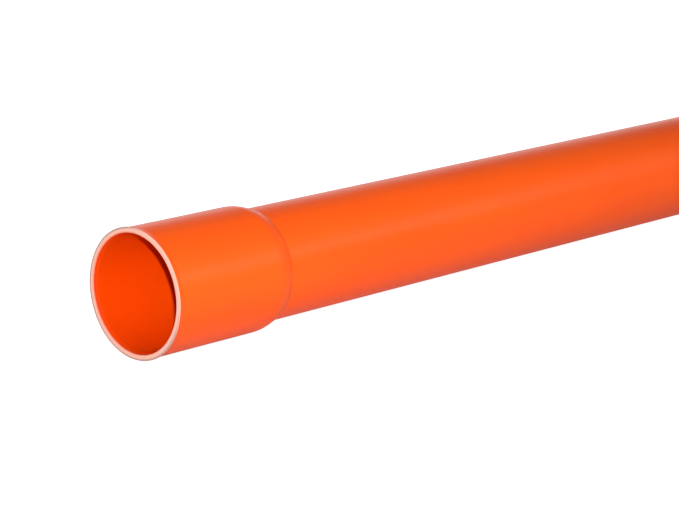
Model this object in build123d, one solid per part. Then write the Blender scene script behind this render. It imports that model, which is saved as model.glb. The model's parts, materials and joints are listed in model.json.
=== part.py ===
from build123d import *
import os
from math import atan2, degrees, radians, tan

# A plastic cable protection pipe with a socket formed on one end.
# It lies along X: the socket's mouth is at the low X end, the plain end is at
# the high X end, and the floor it lies on is at Z = 0.
# Every value is in millimetres or degrees.

# The whole length of stock
overall_length = 3000.0

# The barrel, which is the straight extruded run
barrel_diameter = 110.0
barrel_wall = 6.0

# The socket, which takes the plain end of the next pipe
socket_clearance = 0.5
socket_wall = 5.6
socket_depth = 128.5

# The shoulder, where the socket falls to the barrel
shoulder_length = 22.5
shoulder_foot_radius = 6.0

# The mouth, which flares a little to lead the next pipe in
mouth_flare = 1.1
flare_length = 5.0
lip_length = 1.2
mouth_outer_edge = 0.4
mouth_inner_edge = 0.8

# The bevel on the plain end, at an angle to the pipe's axis
bevel_angle = 15.0
bevel_depth = 2.4

# Radii that follow
barrel_radius = barrel_diameter / 2
barrel_bore_radius = barrel_radius - barrel_wall
bevel_nose_radius = barrel_radius - bevel_depth
socket_bore_radius = barrel_radius + socket_clearance
socket_radius = socket_bore_radius + socket_wall
mouth_bore_radius = socket_bore_radius + mouth_flare
mouth_radius = socket_radius + mouth_flare

# Places along the pipe that follow, measured from its mouth
flare_end = lip_length + flare_length
shoulder_end = socket_depth + shoulder_length
bevel_start = overall_length - bevel_depth / tan(radians(bevel_angle))


def ogee(start, end, last_radius=None):
    """An S of two tangent arcs that leaves start and reaches end parallel to the axis.

    The two radii share a sum that the run and the rise fix. Without a last radius they are equal.
    """
    run = end[0] - start[0]
    rise = end[1] - start[1]
    both_radii = (run**2 + rise**2) / (2 * abs(rise))
    if last_radius is None:
        last_radius = both_radii / 2
    turn = degrees(2 * atan2(rise, run))
    first_arc = JernArc(start, (1, 0), both_radii - last_radius, turn)
    last_arc = JernArc(first_arc @ 1, first_arc % 1, last_radius, -turn)
    return [first_arc, last_arc]


def wall_side(lip_radius, seat_radius, run_radius, foot_radius):
    """One side of the wall, inside or outside, from the mouth to the end of the shoulder."""
    return [
        Line((0, lip_radius), (lip_length, lip_radius)),
        *ogee((lip_length, lip_radius), (flare_end, seat_radius)),
        Line((flare_end, seat_radius), (socket_depth, seat_radius)),
        *ogee((socket_depth, seat_radius), (shoulder_end, run_radius), foot_radius),
    ]


def wall_section():
    """The wall cut along the pipe, on one side of its axis, with the mouth at X = 0."""
    outside = wall_side(mouth_radius, socket_radius, barrel_radius, shoulder_foot_radius)
    inside = wall_side(
        mouth_bore_radius, socket_bore_radius, barrel_bore_radius, shoulder_foot_radius + barrel_wall
    )
    mouth_face = Line((0, mouth_bore_radius), (0, mouth_radius))
    plain_end = Polyline(
        (shoulder_end, barrel_radius),
        (bevel_start, barrel_radius),
        (overall_length, bevel_nose_radius),
        (overall_length, barrel_bore_radius),
        (shoulder_end, barrel_bore_radius),
    )
    section = make_face([mouth_face, *outside, plain_end, *inside])
    outer_corner = section.vertices().group_by(Axis.X)[0].sort_by(Axis.Y)[-1]
    section = fillet(outer_corner, radius=mouth_outer_edge)
    inner_corner = section.vertices().group_by(Axis.X)[0].sort_by(Axis.Y)[0]
    return fillet(inner_corner, radius=mouth_inner_edge)


# The pipe is one turned solid. Its middle is over the origin, and it lies on its mouth's lip
pipe = revolve(wall_section(), axis=Axis.X)
pipe = pipe.moved(Location((-overall_length / 2, 0, mouth_radius)))
pipe.label = "pipe"

os.makedirs("parts", exist_ok=True)
export_step(pipe, "parts/pipe.step")
print("pipe, litres of plastic:", round(pipe.volume / 1e6, 4))
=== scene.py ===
"""The looks of an orange plastic cable protection pipe, a length of stock with a socket formed on one end.

Sizes are in metres. The pipe lies along X on a floor at Z = 0, with its socket's mouth at the low X end.
"""

import json
from math import atan2, cos, pi, radians, sin, tan
from typing import NamedTuple

import bmesh
import bpy
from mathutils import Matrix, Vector


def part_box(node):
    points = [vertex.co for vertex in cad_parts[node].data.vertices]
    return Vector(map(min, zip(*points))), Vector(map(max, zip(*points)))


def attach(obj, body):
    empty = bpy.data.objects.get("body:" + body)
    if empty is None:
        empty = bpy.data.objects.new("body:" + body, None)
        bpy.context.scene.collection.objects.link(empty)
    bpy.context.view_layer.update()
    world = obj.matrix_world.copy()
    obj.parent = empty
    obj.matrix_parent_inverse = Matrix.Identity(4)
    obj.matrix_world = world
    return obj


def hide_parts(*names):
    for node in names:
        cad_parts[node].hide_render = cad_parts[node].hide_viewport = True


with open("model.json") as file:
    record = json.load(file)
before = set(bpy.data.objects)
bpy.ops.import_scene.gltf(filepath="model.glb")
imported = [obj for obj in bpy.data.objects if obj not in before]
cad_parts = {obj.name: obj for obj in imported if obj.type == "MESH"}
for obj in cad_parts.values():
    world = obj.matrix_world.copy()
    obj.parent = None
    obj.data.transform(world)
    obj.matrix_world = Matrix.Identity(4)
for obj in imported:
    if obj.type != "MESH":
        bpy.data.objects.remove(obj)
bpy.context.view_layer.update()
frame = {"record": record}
scene = bpy.context.scene
MM = 0.001

# The pipe's sizes, as its mounts and its box give them
mounts = {mount["name"]: mount for mount in frame["record"]["mounts"]}
low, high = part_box("pipe")
MOUTH_X = low.x
PIPE_LENGTH = high.x - low.x
AXIS_Z = mounts["spigot"]["pos_m"][2]
BARREL_RADIUS = mounts["spigot"]["dims"]["r_mm"] * MM
BARREL_BORE_RADIUS = mounts["cable_bore"]["dims"]["r_mm"] * MM
BARREL_WALL = BARREL_RADIUS - BARREL_BORE_RADIUS
SOCKET_BORE_RADIUS = mounts["socket"]["dims"]["r_mm"] * MM

# The pipe lies on its mouth's lip
MOUTH_RADIUS = AXIS_Z

# Sizes that the mounts don't give
MOUTH_FLARE = 1.1 * MM
LIP_LENGTH = 1.2 * MM
FLARE_LENGTH = 5.0 * MM
SOCKET_DEPTH = 128.5 * MM
SHOULDER_LENGTH = 22.5 * MM
SHOULDER_FOOT_RADIUS = 6.0 * MM
BEVEL_DEPTH = 2.4 * MM
BEVEL_ANGLE = radians(15)
MOUTH_OUTER_EDGE = 0.4 * MM
MOUTH_INNER_EDGE = 0.8 * MM
CUT_EDGE_RADIUS = 0.3 * MM

# Radii and places along the pipe that follow, the places measured from its mouth
MOUTH_BORE_RADIUS = SOCKET_BORE_RADIUS + MOUTH_FLARE
SOCKET_RADIUS = MOUTH_RADIUS - MOUTH_FLARE
FLARE_END = LIP_LENGTH + FLARE_LENGTH
SHOULDER_END = SOCKET_DEPTH + SHOULDER_LENGTH
BEVEL_START = PIPE_LENGTH - BEVEL_DEPTH / tan(BEVEL_ANGLE)

# How finely the pipe is divided
STEPS_ROUND = 256
SEGMENT_LENGTH = 2.0 * MM
FEWEST_SEGMENTS = 6
SPAN_LENGTH = 100.0 * MM

# Points of the section that are nearer to each other than this are one
JOIN_DISTANCE = 0.001 * MM

# How strongly the larger faces lead the shading, out of a hundred
LARGE_FACE_LEAD = 100

# The pipe's materials, in the order that its mesh has them
OUTSIDE, BORE, MOUTH, SAWN_END = range(4)

# The plastic's refraction, and how strongly its satin skin mirrors
PVC_IOR = 1.5
PVC_SPECULAR = 0.24

# Nearly all of a pattern's values lie between these two
NOISE_LOW = 0.25
NOISE_HIGH = 0.75

# How strongly a pattern's finer layers show, and how many of them there are
NOISE_ROUGHNESS = 0.55
COARSE_DETAIL = 2.0
FINE_DETAIL = 3.0

# The marks that a blade or a saw leaves across the wall, about as far apart as a fine saw's teeth: the
# size of one along the pipe and across it
CUT_MARK_ALONG = 0.6 * MM
CUT_MARK_ACROSS = 1.2 * MM

# The pale ring at the mouth: how far from a point a little above the axis it starts and is full. A place
# deeper in the mouth counts as nearer the axis, by this share of its depth
WHITE_RING_LIFT = 0.4 * MM
WHITE_RING_START = 55.0 * MM
WHITE_RING_FULL = 58.6 * MM
DEPTH_SHARE = 0.95

# The painted shade round the mouth's outside, a greyer line where its rounded outer edge turns away from
# the key
# lamp: how far from the axis it starts and is full. It leaves out the side of the mouth that faces the key
# lamp:
# which way that side is, and how far out that way the line starts to fade and is gone
RIM_SHADE_START = 59.6 * MM
RIM_SHADE_FULL = 61.2 * MM
KEY_LIT_SIDE = (0, -0.82, 0.57)
KEY_LIT_START = 21.0 * MM
KEY_LIT_FULL = 55.0 * MM


def linear(hex_colour):
    """An sRGB hex colour as linear red, green, blue and alpha."""
    channels = [int(hex_colour[i:i + 2], 16) / 255 for i in (1, 3, 5)]
    return [c / 12.92 if c <= 0.04045 else ((c + 0.055) / 1.055) ** 2.4 for c in channels] + [1.0]


def add_node(tree, kind, settings=None, inputs=None):
    """Adds a node with its settings, and puts a value or another node's output in each of its sockets."""
    node = tree.nodes.new(kind)
    for name, setting in (settings or {}).items():
        setattr(node, name, setting)
    for socket, value in (inputs or {}).items():
        if isinstance(value, bpy.types.NodeSocket):
            tree.links.new(value, node.inputs[socket])
        else:
            node.inputs[socket].default_value = value
    return node


def new_material(name):
    """An empty material and its node tree."""
    material = bpy.data.materials.new(name)
    material.use_nodes = True
    material.node_tree.nodes.clear()
    return material, material.node_tree


def grain_pattern(tree, along, across, detail=COARSE_DETAIL):
    """Soft noise on the pipe whose grains measure along by across, with its middle on the axis."""
    place = add_node(tree, "ShaderNodeTexCoord")
    grains = add_node(
        tree,
        "ShaderNodeMapping",
        inputs={
            "Vector": place.outputs["Object"],
            "Location": (0, 0, -AXIS_Z / across),
            "Scale": (1 / along, 1 / across, 1 / across),
        },
    )
    noise = add_node(
        tree,
        "ShaderNodeTexNoise",
        inputs={
            "Vector": grains.outputs["Vector"],
            "Scale": 1.0,
            "Detail": detail,
            "Roughness": NOISE_ROUGHNESS,
        },
    )
    return noise.outputs["Fac"]


def mottled_colour(tree, grains, darker, lighter):
    """The plastic's colour, which wanders from darker to lighter with a pattern."""
    lightness = add_node(
        tree,
        "ShaderNodeMapRange",
        inputs={"Value": grains, "From Min": NOISE_LOW, "From Max": NOISE_HIGH},
    )
    colour = add_node(
        tree,
        "ShaderNodeMix",
        settings={"data_type": "RGBA"},
        inputs={"Factor": lightness.outputs["Result"], "A": linear(darker), "B": linear(lighter)},
    )
    return colour.outputs["Result"]


def plastic_skin(tree, colour, roughness, grains, strength, depth):
    """The plastic's surface, in its colour and roughness, with a pattern raised on it by up to a depth."""
    raised = add_node(
        tree,
        "ShaderNodeBump",
        inputs={"Height": grains, "Strength": strength, "Distance": depth},
    )
    skin = add_node(
        tree,
        "ShaderNodeBsdfPrincipled",
        inputs={
            "Base Color": colour,
            "Roughness": roughness,
            "Normal": raised.outputs["Normal"],
            "IOR": PVC_IOR,
            "Specular IOR Level": PVC_SPECULAR,
        },
    )
    add_node(tree, "ShaderNodeOutputMaterial", inputs={"Surface": skin.outputs["BSDF"]})


def extruded_pvc(name, darker, lighter):
    """Unplasticised PVC, pigmented orange and extruded through a die: opaque, satin and even.

    The eye gets a soft sheen, a very slight cloudiness, and faint lines along the pipe that the die drew.
    The clouds are long patches, as an uneven melt leaves them. Real die lines are a few tenths of a
    millimetre apart. These are drawn coarser, about 2 mm apart, so that they show.
    """
    material, tree = new_material(name)
    clouds = grain_pattern(tree, along=160 * MM, across=50 * MM)
    die_lines = grain_pattern(tree, along=900 * MM, across=2.2 * MM, detail=FINE_DETAIL)
    satin = add_node(
        tree,
        "ShaderNodeMapRange",
        inputs={
            "Value": die_lines,
            "From Min": NOISE_LOW,
            "From Max": NOISE_HIGH,
            "To Min": 0.32,
            "To Max": 0.39,
        },
    )
    colour = mottled_colour(tree, clouds, darker, lighter)
    plastic_skin(tree, colour, satin.outputs["Result"], die_lines, strength=0.25, depth=0.02 * MM)
    return material


def from_mouth(tree, lift=0.0):
    """Places on the pipe from the middle of its mouth, or from a point that is lifted above it."""
    place = add_node(tree, "ShaderNodeTexCoord")
    moved = add_node(
        tree,
        "ShaderNodeMapping",
        inputs={"Vector": place.outputs["Object"], "Location": (-MOUTH_X, 0, -AXIS_Z - lift)},
    )
    return moved.outputs["Vector"]


def off_axis(tree, places):
    """How far each place is from a line along the pipe, through the point that places are measured from."""
    across = add_node(
        tree,
        "ShaderNodeVectorMath",
        settings={"operation": "MULTIPLY"},
        inputs={0: places, 1: (0, 1, 1)},
    )
    length = add_node(
        tree,
        "ShaderNodeVectorMath",
        settings={"operation": "LENGTH"},
        inputs={0: across.outputs["Vector"]},
    )
    return length.outputs["Value"]


def ring_whiteness(tree):
    """How pale the mouth's plastic is, from nought inside the bore to one on the rim."""
    places = from_mouth(tree, lift=WHITE_RING_LIFT)
    depth = add_node(
        tree,
        "ShaderNodeVectorMath",
        settings={"operation": "DOT_PRODUCT"},
        inputs={0: places, 1: (1, 0, 0)},
    )
    towards_rim = add_node(
        tree,
        "ShaderNodeMath",
        settings={"operation": "MULTIPLY_ADD"},
        inputs={0: depth.outputs["Value"], 1: -DEPTH_SHARE, 2: off_axis(tree, places)},
    )
    whiteness = add_node(
        tree,
        "ShaderNodeMapRange",
        settings={"interpolation_type": "SMOOTHSTEP"},
        inputs={
            "Value": towards_rim.outputs["Value"],
            "From Min": WHITE_RING_START,
            "From Max": WHITE_RING_FULL,
        },
    )
    return whiteness.outputs["Result"]


def painted_rim_shade(tree):
    """The painted shade on the mouth's outside: one all round it, and nought on the side that faces the key
    lamp.
    """
    places = from_mouth(tree)
    outer_line = add_node(
        tree,
        "ShaderNodeMapRange",
        settings={"interpolation_type": "SMOOTHSTEP"},
        inputs={"Value": off_axis(tree, places), "From Min": RIM_SHADE_START, "From Max": RIM_SHADE_FULL},
    )
    # The side that faces the key lamp is left without the painted shade
    towards_key_lit_side = add_node(
        tree,
        "ShaderNodeVectorMath",
        settings={"operation": "DOT_PRODUCT"},
        inputs={0: places, 1: KEY_LIT_SIDE},
    )
    away_from_key = add_node(
        tree,
        "ShaderNodeMapRange",
        settings={"interpolation_type": "SMOOTHSTEP"},
        inputs={
            "Value": towards_key_lit_side.outputs["Value"],
            "From Min": KEY_LIT_FULL,
            "From Max": KEY_LIT_START,
        },
    )
    rim_shade = add_node(
        tree,
        "ShaderNodeMath",
        settings={"operation": "MULTIPLY"},
        inputs={0: outer_line.outputs["Result"], 1: away_from_key.outputs["Result"]},
    )
    return rim_shade.outputs["Value"]


def trimmed_pvc():
    """The same plastic at the mouth, where a blade trimmed it and the hot former stretched it.

    The eye gets a pale pink ring, chalky and dull, that fades to orange just inside the bore and is a
    little wider below than above. A thin greyer line is painted most of the way round its outside: painted
    shade where the rounded outer edge turns away from the key lamp, left off the side that faces it.
    """
    material, tree = new_material("trimmed_orange_pvc")
    marks = grain_pattern(tree, along=CUT_MARK_ALONG, across=CUT_MARK_ACROSS, detail=FINE_DETAIL)
    whiteness = ring_whiteness(tree)
    ring = add_node(
        tree,
        "ShaderNodeMix",
        settings={"data_type": "RGBA"},
        inputs={
            "Factor": whiteness,
            "A": linear("#E84300"),
            "B": mottled_colour(tree, marks, "#F9BBA8", "#FDC2B0"),
        },
    )
    # Painted shade: a greyer line on the rounded outer edge, where it turns away from the key lamp
    ring_and_rim_shade = add_node(
        tree,
        "ShaderNodeMix",
        settings={"data_type": "RGBA"},
        inputs={"Factor": painted_rim_shade(tree), "A": ring.outputs["Result"], "B": linear("#C29A90")},
    )
    chalkiness = add_node(
        tree,
        "ShaderNodeMapRange",
        inputs={"Value": whiteness, "To Min": 0.4, "To Max": 0.7},
    )
    plastic_skin(
        tree,
        ring_and_rim_shade.outputs["Result"],
        chalkiness.outputs["Result"],
        marks,
        strength=0.25,
        depth=0.05 * MM,
    )
    return material


def sawn_pvc():
    """The same plastic at the plain end, where a saw and a bevelling tool have crossed it.

    The eye gets a pale pink ring, chalky and dull, with fine marks of the teeth across the wall.
    """
    material, tree = new_material("sawn_orange_pvc")
    marks = grain_pattern(tree, along=CUT_MARK_ALONG, across=CUT_MARK_ACROSS, detail=FINE_DETAIL)
    colour = mottled_colour(tree, marks, "#F6B29D", "#FCC0AD")
    plastic_skin(tree, colour, 0.7, marks, strength=0.4, depth=0.08 * MM)
    return material


def ogee_corners(start, end, last_radius=None):
    """The two corners that an S of two tangent arcs rounds, each with its radius.

    It leaves start and reaches end parallel to the axis. Without a last radius the two are equal.
    """
    run = end[0] - start[0]
    rise = end[1] - start[1]
    both_radii = (run**2 + rise**2) / (2 * abs(rise))
    last_radius = both_radii / 2 if last_radius is None else last_radius
    first_radius = both_radii - last_radius
    half_turn = atan2(abs(rise), run)
    return [
        (start[0] + first_radius * tan(half_turn), start[1], first_radius),
        (end[0] - last_radius * tan(half_turn), end[1], last_radius),
    ]


def section_corners():
    """The corners of the wall's section: how far along the pipe, how far from its axis, and their radii.

    They go along the outside from the mouth to the plain end, and back along the inside.
    """
    inner_foot_radius = SHOULDER_FOOT_RADIUS + BARREL_WALL
    outside = [
        (0, MOUTH_RADIUS, MOUTH_OUTER_EDGE),
        *ogee_corners((LIP_LENGTH, MOUTH_RADIUS), (FLARE_END, SOCKET_RADIUS)),
        *ogee_corners((SOCKET_DEPTH, SOCKET_RADIUS), (SHOULDER_END, BARREL_RADIUS), SHOULDER_FOOT_RADIUS),
        (BEVEL_START, BARREL_RADIUS, CUT_EDGE_RADIUS),
        (PIPE_LENGTH, BARREL_RADIUS - BEVEL_DEPTH, CUT_EDGE_RADIUS),
    ]
    inside = [
        (0, MOUTH_BORE_RADIUS, MOUTH_INNER_EDGE),
        *ogee_corners((LIP_LENGTH, MOUTH_BORE_RADIUS), (FLARE_END, SOCKET_BORE_RADIUS)),
        *ogee_corners(
            (SOCKET_DEPTH, SOCKET_BORE_RADIUS), (SHOULDER_END, BARREL_BORE_RADIUS), inner_foot_radius
        ),
        (PIPE_LENGTH, BARREL_BORE_RADIUS, CUT_EDGE_RADIUS),
    ]
    return outside + inside[::-1]


def round_corner(mesh, vertex, radius):
    """Rounds one corner of the section to a radius."""
    before, after = [edge.other_vert(vertex).co - vertex.co for edge in vertex.link_edges]
    turn = pi - before.angle(after)
    bmesh.ops.bevel(
        mesh,
        geom=[vertex],
        offset=radius * tan(turn / 2),
        offset_type="OFFSET",
        segments=max(FEWEST_SEGMENTS, round(radius * turn / SEGMENT_LENGTH)),
        profile=0.5,
        affect="VERTICES",
        material=-1,
    )


def draw_section(mesh):
    """Draws the wall's section above the axis, with its corners rounded and its long runs divided.

    Where the two arcs of an S meet, their ends are joined.
    """
    corners = section_corners()
    vertices = [mesh.verts.new((MOUTH_X + along, 0, AXIS_Z + radius)) for along, radius, _ in corners]
    for here, after in zip(vertices, vertices[1:] + vertices[:1]):
        mesh.edges.new((here, after))
    for vertex, (_, _, rounding) in zip(vertices, corners):
        round_corner(mesh, vertex, rounding)
    bmesh.ops.remove_doubles(mesh, verts=mesh.verts, dist=JOIN_DISTANCE)
    for edge in [edge for edge in mesh.edges if edge.calc_length() > SPAN_LENGTH]:
        bmesh.ops.subdivide_edges(mesh, edges=[edge], cuts=int(edge.calc_length() / SPAN_LENGTH))


def face_material(face):
    """Which of the pipe's materials a face has, from where it is and which way it faces."""
    middle = face.calc_center_median()
    along = middle.x - MOUTH_X
    outward = Vector((0, middle.y, middle.z - AXIS_Z))
    faces_in = face.normal.dot(outward) < 0
    if along < (FLARE_END if faces_in else MOUTH_OUTER_EDGE):
        return MOUTH
    if along > PIPE_LENGTH - CUT_EDGE_RADIUS:
        return SAWN_END
    if along > BEVEL_START and outward.length > BARREL_BORE_RADIUS + CUT_EDGE_RADIUS:
        return SAWN_END
    return BORE if faces_in else OUTSIDE


def make_pipe():
    """The pipe: its wall's section, spun round the axis."""
    mesh = bmesh.new()
    draw_section(mesh)
    bmesh.ops.spin(
        mesh,
        geom=mesh.verts[:] + mesh.edges[:],
        cent=(0, 0, AXIS_Z),
        axis=(1, 0, 0),
        angle=2 * pi,
        steps=STEPS_ROUND,
        use_merge=True,
    )
    bmesh.ops.recalc_face_normals(mesh, faces=mesh.faces)
    for face in mesh.faces:
        face.smooth = True
        face.material_index = face_material(face)
    data = bpy.data.meshes.new("belled_pipe")
    mesh.to_mesh(data)
    mesh.free()
    materials = {
        OUTSIDE: extruded_pvc("extruded_orange_pvc", "#F7550D", "#FA5B0E"),
        # The bore's copy of the plastic is painted deeper and redder than the outside's, as painted shade
        # for the dim inside of the bore
        BORE: extruded_pvc("extruded_orange_pvc_painted_shade_bore", "#ED4500", "#F14900"),
        MOUTH: trimmed_pvc(),
        SAWN_END: sawn_pvc(),
    }
    for index in sorted(materials):
        data.materials.append(materials[index])
    pipe = bpy.data.objects.new("belled_pipe", data)
    scene.collection.objects.link(pipe)
    shading = pipe.modifiers.new("even shading", "WEIGHTED_NORMAL")
    shading.mode = "FACE_AREA"
    shading.weight = LARGE_FACE_LEAD
    return pipe


# The camera looks across the socket, so that the mouth is at the left and the pipe runs off at the right
VIEW_HEADING = radians(43.80)
VIEW_DROP = radians(13.565)
VIEW_DISTANCE = 2.3527
VIEW_AIM = Vector((MOUTH_X + 0.2670, -0.0030, AXIS_Z - 0.0182))
SENSOR_WIDTH_MM = 36.0
LENS_MM = 126.08


def make_camera():
    """The camera, at the place and angle that the photograph's outlines give."""
    data = bpy.data.cameras.new("camera")
    data.sensor_width = SENSOR_WIDTH_MM
    data.lens = LENS_MM
    camera = bpy.data.objects.new("camera", data)
    forward = Vector((
        cos(VIEW_DROP) * cos(VIEW_HEADING),
        cos(VIEW_DROP) * sin(VIEW_HEADING),
        -sin(VIEW_DROP),
    ))
    camera.location = VIEW_AIM - forward * VIEW_DISTANCE
    camera.rotation_euler = (pi / 2 - VIEW_DROP, 0, VIEW_HEADING - pi / 2)
    scene.collection.objects.link(camera)
    scene.camera = camera


class Lamp(NamedTuple):
    """A soft rectangular lamp, its power in watts, and whether the pipe's gloss shows it."""

    place: Vector
    target: Vector
    width: float
    height: float
    watts: float
    in_gloss: bool


# The key lamp looks into the mouth from in front of it
MOUTH_CENTRE = Vector((MOUTH_X, 0, AXIS_Z))
KEY_HEADING = radians(49.8)
KEY_RISE = radians(17.1)
KEY_DISTANCE = 2.4
KEY_PLACE = MOUTH_CENTRE + KEY_DISTANCE * Vector((
    -cos(KEY_RISE) * cos(KEY_HEADING),
    -cos(KEY_RISE) * sin(KEY_HEADING),
    sin(KEY_RISE),
))

# The studio's lamps. The side lamp and the band lamp draw the soft lights along the socket and the barrel,
# the far lamp lights the plain end, and the back lamp lights the side that the camera doesn't see
LAMPS = {
    "key": Lamp(
        place=KEY_PLACE,
        target=MOUTH_CENTRE,
        width=0.04,
        height=0.04,
        watts=62.5,
        in_gloss=True,
    ),
    "side": Lamp(
        place=MOUTH_CENTRE + Vector((0.22, -0.99, 0.99)),
        target=MOUTH_CENTRE + Vector((0.22, 0, 0)),
        width=0.5,
        height=0.5,
        watts=5.9,
        in_gloss=True,
    ),
    "band": Lamp(
        place=MOUTH_CENTRE + Vector((1.9, -1.83, 0.88)),
        target=MOUTH_CENTRE + Vector((0.3, 0, 0)),
        width=1.0,
        height=0.4,
        watts=4.1,
        in_gloss=True,
    ),
    "far": Lamp(
        place=MOUTH_CENTRE + Vector((2.5, -1.1, 1.0)),
        target=MOUTH_CENTRE + Vector((2.7, 0, 0)),
        width=0.9,
        height=0.5,
        watts=6.5,
        in_gloss=False,
    ),
    "back": Lamp(
        place=Vector((0.5, 3.5, 0.9)),
        target=Vector((0.1, 0, AXIS_Z)),
        width=3.0,
        height=1.0,
        watts=90.0,
        in_gloss=False,
    ),
}


def make_lamps():
    """The studio's lamps, each turned to face what it lights."""
    for name, lamp in LAMPS.items():
        data = bpy.data.lights.new(name, "AREA")
        data.shape = "RECTANGLE"
        data.size = lamp.width
        data.size_y = lamp.height
        data.energy = lamp.watts
        light = bpy.data.objects.new(name, data)
        light.location = lamp.place
        light.rotation_euler = (lamp.target - lamp.place).to_track_quat("-Z", "Y").to_euler()
        light.visible_glossy = lamp.in_gloss
        scene.collection.objects.link(light)


# The white backdrop: its even light, and how bright it is in the pipe's gloss. Low down it is bright
# behind the pipe and dim in front of it, from one depth along Y to another, and high up it is dim all round
BACKDROP_FILL = 0.126
LOW_RISE = radians(4)
HIGH_RISE = radians(36)
FRONT_DEPTH = 0.25
BACK_DEPTH = 0.6
MIRRORED_LOW_FRONT = 0.3
MIRRORED_LOW_BACK = 1.5
MIRRORED_HIGH = 0.1


def ray_kinds(tree):
    """One where a ray is the camera's, and one where a surface mirrors it or lets it through."""
    path = add_node(tree, "ShaderNodeLightPath")
    mirrored = add_node(
        tree,
        "ShaderNodeMath",
        settings={"operation": "MAXIMUM"},
        inputs={0: path.outputs["Is Glossy Ray"], 1: path.outputs["Is Transmission Ray"]},
    )
    return path.outputs["Is Camera Ray"], mirrored.outputs["Value"]


def mirrored_brightness(tree):
    """How bright the backdrop is in the pipe's gloss: brightest where it is low and behind the pipe."""
    direction = add_node(tree, "ShaderNodeTexCoord")
    parts = add_node(tree, "ShaderNodeSeparateXYZ", inputs={"Vector": direction.outputs["Generated"]})
    low_down = add_node(
        tree,
        "ShaderNodeMapRange",
        settings={"interpolation_type": "SMOOTHSTEP"},
        inputs={
            "Value": parts.outputs["Y"],
            "From Min": FRONT_DEPTH,
            "From Max": BACK_DEPTH,
            "To Min": MIRRORED_LOW_FRONT,
            "To Max": MIRRORED_LOW_BACK,
        },
    )
    by_rise = add_node(
        tree,
        "ShaderNodeMapRange",
        settings={"interpolation_type": "SMOOTHSTEP"},
        inputs={
            "Value": parts.outputs["Z"],
            "From Min": sin(LOW_RISE),
            "From Max": sin(HIGH_RISE),
            "To Min": low_down.outputs["Result"],
            "To Max": MIRRORED_HIGH,
        },
    )
    return by_rise.outputs["Result"]


def make_world():
    """A white backdrop all round, with an even light on the pipe and a shaded picture in its gloss."""
    world = bpy.data.worlds.new("white backdrop")
    world.use_nodes = True
    tree = world.node_tree
    tree.nodes.clear()
    camera, mirrored = ray_kinds(tree)
    in_gloss = add_node(
        tree,
        "ShaderNodeMath",
        settings={"operation": "MULTIPLY"},
        inputs={0: mirrored_brightness(tree), 1: mirrored},
    )
    seen = add_node(
        tree,
        "ShaderNodeMath",
        settings={"operation": "ADD"},
        inputs={0: camera, 1: in_gloss.outputs["Value"]},
    )
    strength = add_node(
        tree,
        "ShaderNodeMath",
        settings={"operation": "MAXIMUM"},
        inputs={0: seen.outputs["Value"], 1: BACKDROP_FILL},
    )
    backdrop = add_node(
        tree,
        "ShaderNodeBackground",
        inputs={"Color": linear("#FFFFFF"), "Strength": strength.outputs["Value"]},
    )
    add_node(tree, "ShaderNodeOutputWorld", inputs={"Surface": backdrop.outputs["Background"]})
    scene.world = world


# The floor: its size, its colour, its colour in the pipe's gloss, and the light that lifts it to white for
# the camera
FLOOR_HALF_WIDTH = 30.0
FLOOR_COLOUR = "#E2E2E2"
MIRRORED_FLOOR_COLOUR = "#C4C4C4"
FLOOR_GLOW = 0.89


def make_floor():
    """A plain pale floor, lifted to white for the camera, with the pipe's shadow left on it.

    It is a little darker in the pipe's gloss.
    """
    mesh = bmesh.new()
    bmesh.ops.create_grid(mesh, x_segments=1, y_segments=1, size=FLOOR_HALF_WIDTH)
    data = bpy.data.meshes.new("floor")
    mesh.to_mesh(data)
    mesh.free()
    floor = bpy.data.objects.new("floor", data)
    scene.collection.objects.link(floor)
    material, tree = new_material("pale floor")
    camera, mirrored = ray_kinds(tree)
    colour = add_node(
        tree,
        "ShaderNodeMix",
        settings={"data_type": "RGBA"},
        inputs={"Factor": mirrored, "A": linear(FLOOR_COLOUR), "B": linear(MIRRORED_FLOOR_COLOUR)},
    )
    paint = add_node(tree, "ShaderNodeBsdfDiffuse", inputs={"Color": colour.outputs["Result"]})
    lifted = add_node(
        tree,
        "ShaderNodeMath",
        settings={"operation": "MULTIPLY"},
        inputs={0: camera, 1: FLOOR_GLOW},
    )
    glow = add_node(tree, "ShaderNodeEmission", inputs={"Strength": lifted.outputs["Value"]})
    both = add_node(
        tree,
        "ShaderNodeAddShader",
        inputs={0: paint.outputs["BSDF"], 1: glow.outputs["Emission"]},
    )
    add_node(tree, "ShaderNodeOutputMaterial", inputs={"Surface": both.outputs["Shader"]})
    data.materials.append(material)


scene.view_settings.view_transform = "Standard"
make_camera()
make_lamps()
make_world()
make_floor()
pipe = make_pipe()
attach(pipe, "root")
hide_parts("pipe")
